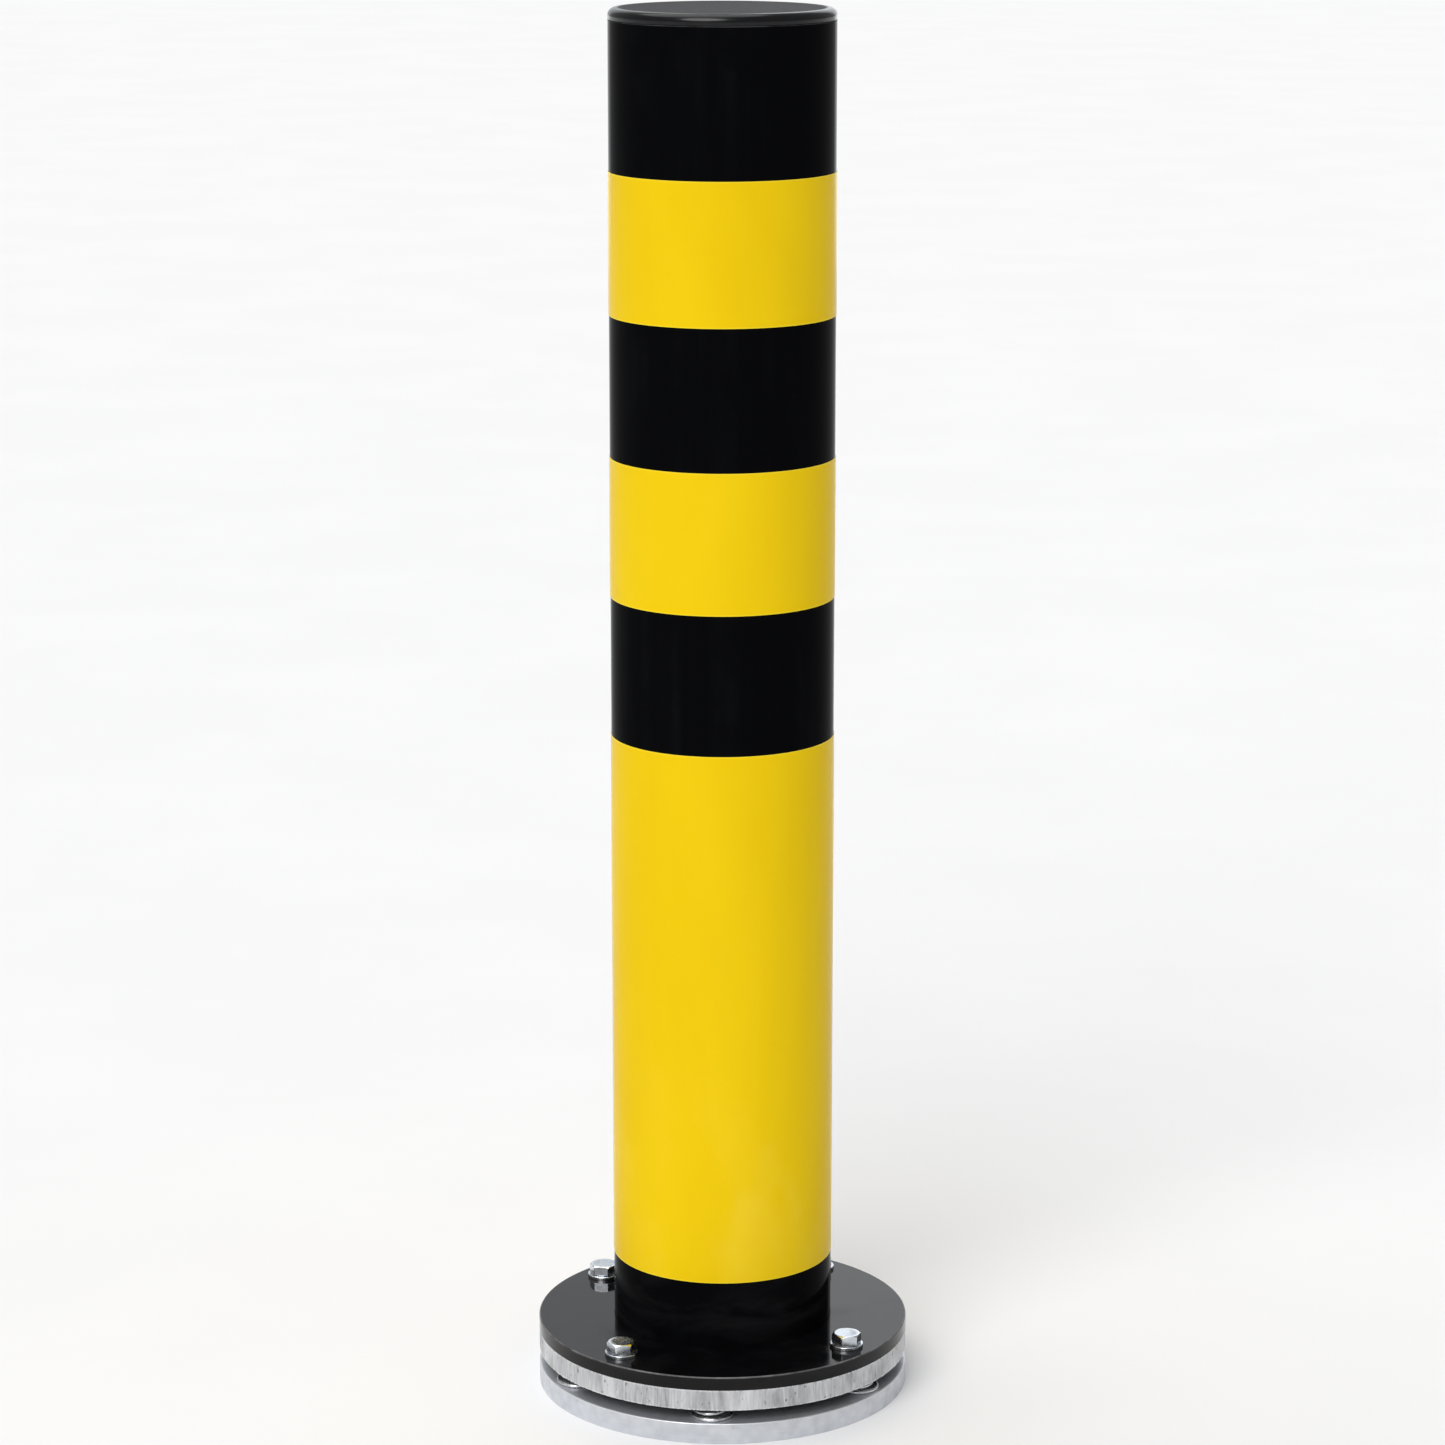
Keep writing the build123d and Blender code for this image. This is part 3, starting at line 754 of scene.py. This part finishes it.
def bolt_mesh():
    """Hexagon bolt at the origin: chamfered head, washer face and threaded shank."""
    across_flats = 19 * MM
    flat = across_flats / 2
    corner = flat / math.cos(math.pi / 6)
    rounding = 0.12 * MM
    worn_corner = 0.86
    head = 7.5 * MM
    slope = math.tan(math.radians(30))
    top_disc = flat - 0.35 * MM
    shank_top, washer_face = 6.2 * MM, 8.8 * MM
    dimple, dimple_floor = 6.3 * MM, 5.6 * MM
    steps = BOLT_SEGMENTS
    verts, faces, edge = [], [], []

    def ring(radius_at, height_at, edge_value):
        first = len(verts)
        for i in range(steps):
            angle = math.tau * i / steps
            side = (angle + math.pi / 6) % (math.pi / 3) - math.pi / 6
            hex_radius = min(flat / math.cos(side), corner - rounding)
            radius = radius_at(hex_radius)
            verts.append((radius * math.cos(angle), radius * math.sin(angle), height_at(radius, hex_radius)))
            near_corner = ((hex_radius - flat) / (corner - flat) - worn_corner) / (1 - worn_corner)
            edge.append(max(edge_value, clamped(near_corner)))
        return first

    def brim(hex_radius):
        return head - max(0.0, hex_radius - top_disc) * slope

    # From the shank out over the washer face, up the flats, over the brim and into the dimple on top
    rings = [
        ring(lambda h: shank_top, lambda r, h: 0.0, 0.0),
        ring(lambda h: washer_face, lambda r, h: 0.0, 0.0),
        ring(lambda h: washer_face + 0.1 * MM, lambda r, h: 0.35 * MM, 0.0),
        ring(lambda h: h - 0.25 * MM, lambda r, h: 0.38 * MM, 0.6),
        ring(lambda h: h, lambda r, h: 0.65 * MM, 0.3),
        ring(lambda h: h, lambda r, h: 2.2 * MM, 0.0),
        ring(lambda h: h, lambda r, h: brim(h) - 0.6 * MM, 0.0),
        ring(lambda h: h, lambda r, h: brim(h) - rounding, 0.8),
        ring(lambda h: h - rounding, lambda r, h: brim(h) + 0.02 * MM, 1.0),
        ring(lambda h: top_disc + 0.25 * MM, lambda r, h: head - 0.15 * MM, 0.4),
        ring(lambda h: top_disc - 0.15 * MM, lambda r, h: head, 0.9),
        ring(lambda h: top_disc - 0.9 * MM, lambda r, h: head, 0.0),
        ring(lambda h: dimple, lambda r, h: head, 0.0),
        ring(lambda h: dimple_floor, lambda r, h: head - 0.22 * MM, 0.0),
    ]
    for a, b in zip(rings, rings[1:]):
        faces += ring_faces(a, b, steps)
    centre = len(verts)
    verts.append((0, 0, head - 0.25 * MM))
    edge.append(0.0)
    faces += fan_faces(centre, rings[-1], steps)
    faces += thread(verts, edge, rings[0], steps)
    mesh = mesh_from("bolt", verts, faces)
    mesh.attributes.new("edge", "FLOAT", "POINT").data.foreach_set("value", edge)
    return mesh


def thread(verts, edge, head_ring, steps):
    """Shank with a helical M12 thread, down from the head's inner ring. Adds vertices, returns faces."""
    length, pitch, major, depth = 25 * MM, 1.75 * MM, 5.98 * MM, 0.9 * MM
    first_row, plain = 0.6 * MM, 3.0 * MM
    tip_chamfer, tip_radius = 1.2 * MM, 3.8 * MM
    faces = []
    above = head_ring
    for row in range(THREAD_ROWS + 1):
        down = first_row + (length - first_row) * row / THREAD_ROWS
        first = len(verts)
        for i in range(steps):
            angle = math.tau * i / steps
            share = ((down / pitch) + i / steps) % 1.0
            groove = depth * (1 - abs(2 * share - 1)) if down > plain else 0.0
            taper = max(0.0, down - (length - tip_chamfer))
            radius = max(tip_radius, major - groove - taper)
            verts.append((radius * math.cos(angle), radius * math.sin(angle), -down))
            edge.append(0.0)
        faces += ring_faces(above, first, steps)
        above = first
    tip = len(verts)
    verts.append((0, 0, -length))
    edge.append(0.0)
    faces += fan_faces(tip, above, steps)
    return faces


def washer_mesh():
    """Flat washer at the origin, with the rolled edge that stamping leaves."""
    outer, inner, thick = 12 * MM, 6.5 * MM, 2.5 * MM
    roll, inner_roll, foot_chamfer = 0.45 * MM, 0.3 * MM, 0.2 * MM
    polished = 0.5 * MM
    profile = arc(outer - roll, thick - roll, roll, 0, 90, 4)
    profile += arc(inner + inner_roll, thick - inner_roll, inner_roll, 90, 180, 3)
    profile += [(inner, 0), (outer - foot_chamfer, 0), (outer, foot_chamfer)]
    mesh = lathe("washer", profile, WASHER_SEGMENTS)
    edge = []
    for vertex in mesh.vertices:
        from_edge = outer - vertex.co.xy.length + thick - vertex.co.z
        edge.append(max(0.0, 1 - from_edge / polished))
    mesh.attributes.new("edge", "FLOAT", "POINT").data.foreach_set("value", edge)
    return mesh


def fasteners():
    """Four bolts on washers, each head turned differently, as a spanner leaves them."""
    bolt, washer = bolt_mesh(), washer_mesh()
    turns = (39, 41, 64, 18)
    for index, (x, y) in enumerate(places(BOLTS)):
        washer_low, washer_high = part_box(f"flange_washer_{index + 1}")
        turn = Matrix.Rotation(math.radians(turns[index]), 4, "Z")
        for kind, source, height, sharp_angle in (
            ("flange_bolt", bolt, washer_high.z, 22),
            ("flange_washer", washer, washer_low.z, 40),
        ):
            mesh = source.copy()
            mesh.transform(Matrix.Translation((x, y, height)) @ turn)
            name = f"{kind}_{index + 1}"
            piece = new_piece(name + "_finished", mesh, "post", name)
            finish_edges(piece, sharp_angle)
            paint(piece, "bright_zinc")


# ---------------------------------------------------------------- springs


def coil_centre(turn, gap):
    """Centre of the wire after some turns: flat, then narrowing and rising, then flat under the plate."""
    share = clamped((turn - CLOSED_TURNS) / OPEN_TURNS)
    radius = COIL_RADIUS + share * (COIL_TIP_RADIUS - COIL_RADIUS) - WIRE_RADIUS
    height = WIRE_RADIUS + share * (gap - 2 * WIRE_RADIUS)
    angle = math.tau * turn
    return Vector((radius * math.cos(angle), radius * math.sin(angle), height))


def coil_mesh(name, start_turn, end_turn, gap):
    """A length of the spring's wire as a tube; an end that goes on in the other half stays open."""
    around, ahead_turn = WIRE_SEGMENTS, 0.002
    count = round((end_turn - start_turn) * COIL_STEPS_PER_TURN)
    verts, faces = [], []
    for step in range(count + 1):
        turn = start_turn + (end_turn - start_turn) * step / count
        centre = coil_centre(turn, gap)
        ahead = (coil_centre(turn + ahead_turn, gap) - coil_centre(turn - ahead_turn, gap)).normalized()
        out = Vector((centre.x, centre.y, 0)).normalized()
        side = (out - ahead * out.dot(ahead)).normalized()
        up = ahead.cross(side)
        for i in range(around):
            angle = math.tau * i / around
            verts.append(centre + WIRE_RADIUS * (math.cos(angle) * side + math.sin(angle) * up))
        if step:
            faces += ring_faces((step - 1) * around, step * around, around)
    if start_turn == 0:
        faces.append(tuple(range(around)))
    if end_turn == ALL_TURNS:
        faces.append(tuple(range(count * around, (count + 1) * around)))
    return mesh_from(name, verts, faces)


def springs():
    """Each spring in two halves; the split shares out the gap by how far the forward and the sideways tilt
    move the plate over that spring."""
    floor, ceiling = base_high.z, tilt_low.z
    gap = ceiling - floor
    first_angle, count = SPRINGS[1:]
    for index, (x, y) in enumerate(places(SPRINGS)):
        forward, sideways = abs(y) + COIL_RADIUS, abs(x) + COIL_RADIUS
        share = forward / (forward + sideways)
        split_turn = CLOSED_TURNS + share * OPEN_TURNS
        split_height = floor + WIRE_RADIUS + share * (gap - 2 * WIRE_RADIUS)
        face_out = first_angle + index * 360 / count - 180 * CLOSED_TURNS
        place = Matrix.Translation((x, y, floor)) @ Matrix.Rotation(math.radians(face_out), 4, "Z")
        node = f"tilt_spring_{index + 1}"
        halves = (
            ("lower", 0, split_turn, "base", "ball_liner", floor + WIRE_RADIUS, split_height),
            ("upper", split_turn, ALL_TURNS, "ball_liner", "post", split_height, ceiling - WIRE_RADIUS),
        )
        for half, start_turn, end_turn, below, above, start_height, end_height in halves:
            mesh = coil_mesh(f"{node}_{half}", start_turn, end_turn, gap)
            mesh.transform(place)
            piece = bpy.data.objects.new(f"{node}_{half}", mesh)
            bpy.context.scene.collection.objects.link(piece)
            paint(piece, "spring_steel")
            piece.data.set_sharp_from_angle(angle=math.radians(50))
            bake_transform(piece)
            if half == "lower":
                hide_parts(node)


# ---------------------------------------------------------------- carried-over CAD nodes


def inner_nodes():
    """Materials for the CAD nodes inside, whose shapes are right as they are."""
    looks = {"ball_stud": "ground_steel", "index_pin": "ground_steel", "ball_liner": "liner_plastic",
             "socket_cap": "dark_steel", "socket_screw": "dark_steel", "foot_weld": "dark_steel"}
    for name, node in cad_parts.items():
        for start, material in looks.items():
            if name.startswith(start):
                paint(node, material)


# ---------------------------------------------------------------- stage


def stage():
    """Wide pale floor. It fills the main picture, because the camera looks down on it."""
    reach, cells = 60.0, 24
    per_row = cells + 1
    verts, faces = [], []
    for row in range(per_row):
        for column in range(per_row):
            verts.append((reach * (2 * column / cells - 1), reach * (2 * row / cells - 1), 0))
    for row in range(cells):
        for column in range(cells):
            first = row * per_row + column
            faces.append((first, first + 1, first + per_row + 1, first + per_row))
    floor = bpy.data.objects.new("floor", mesh_from("floor", verts, faces))
    bpy.context.scene.collection.objects.link(floor)
    material, tree, shader, place = new_material("floor", Roughness=0.9, Specular_IOR_Level=0.0)
    cloudy = remap(tree, grain(tree, place, 3.0, detail=3), 0.3, 0.7, 0, 1)
    colour = blend_colours(tree, cloudy, (0.87, 0.87, 0.875), (0.85, 0.85, 0.855))
    tree.links.new(colour, shader.inputs["Base Color"])
    floor.data.materials.append(material)


def area_light(name, place, target, width, height, power, colour):
    """A soft rectangular panel aimed at a point; only glossy surfaces show it, so the floor stays even."""
    data = bpy.data.lights.new(name, "AREA")
    data.shape = "RECTANGLE"
    data.size, data.size_y = width, height
    data.energy = power
    data.color = colour
    light = bpy.data.objects.new(name, data)
    bpy.context.scene.collection.objects.link(light)
    light.location = place
    light.visible_camera = False
    light.visible_diffuse = False
    light.rotation_mode = "QUATERNION"
    light.rotation_quaternion = (Vector(target) - Vector(place)).to_track_quat("-Z", "Y")


def soft_sun(name, from_place, strength, angle):
    """A wide, even light from one direction."""
    data = bpy.data.lights.new(name, "SUN")
    data.energy = strength
    data.angle = math.radians(angle)
    light = bpy.data.objects.new(name, data)
    bpy.context.scene.collection.objects.link(light)
    light.rotation_mode = "QUATERNION"
    light.rotation_quaternion = (-Vector(from_place)).to_track_quat("-Z", "Y")


def lights():
    """Soft key from the front left, soft top light, a panel behind on each side, and a pale surround.
    The surround looks as bright as the floor to the camera, so no horizon shows, but lights less."""
    lighting, seen_brightness = 0.30, 0.955
    world = bpy.data.worlds.new("surround")
    bpy.context.scene.world = world
    world.use_nodes = True
    tree = world.node_tree
    background = tree.nodes["Background"]
    background.inputs["Color"].default_value = (1, 1, 1, 1)
    seen = add_node(tree, "ShaderNodeLightPath").outputs["Is Camera Ray"]
    strength = remap(tree, seen, 0, 1, lighting, seen_brightness)
    tree.links.new(strength, background.inputs["Strength"])
    soft_sun("key", (-1.1, -2.7, 2.3), 1.85, 40)
    soft_sun("top", (-0.2, 0.2, 1.0), 1.45, 60)
    area_light("back_left", (-0.85, 3.0, 1.7), (-0.85, 0, 1.2), 1.6, 2.6, 7.5, (0.90, 0.96, 1.0))
    area_light("back_right", (0.85, 3.0, 1.7), (0.85, 0, 1.2), 1.6, 2.6, 14, (0.92, 0.96, 1.0))


def camera():
    """The photograph's viewpoint: a little above the post's top, 3 m in front."""
    distance, height, down, lens = 3.0, 1.185, 12.96, 107.3
    data = bpy.data.cameras.new("camera")
    data.lens = lens
    data.sensor_width = 36
    eye = bpy.data.objects.new("camera", data)
    bpy.context.scene.collection.objects.link(eye)
    eye.location = (0, -distance, height)
    eye.rotation_euler = (math.radians(90 - down), 0, 0)
    bpy.context.scene.camera = eye


base_plate()
tilt_plate()
flange_plate()
post_tube()
for band in BANDS:
    yellow_band(band)
post_cap()
fasteners()
springs()
inner_nodes()
stage()
lights()
camera()

view = bpy.context.scene.view_settings
view.view_transform = "Standard"
view.look = "None"
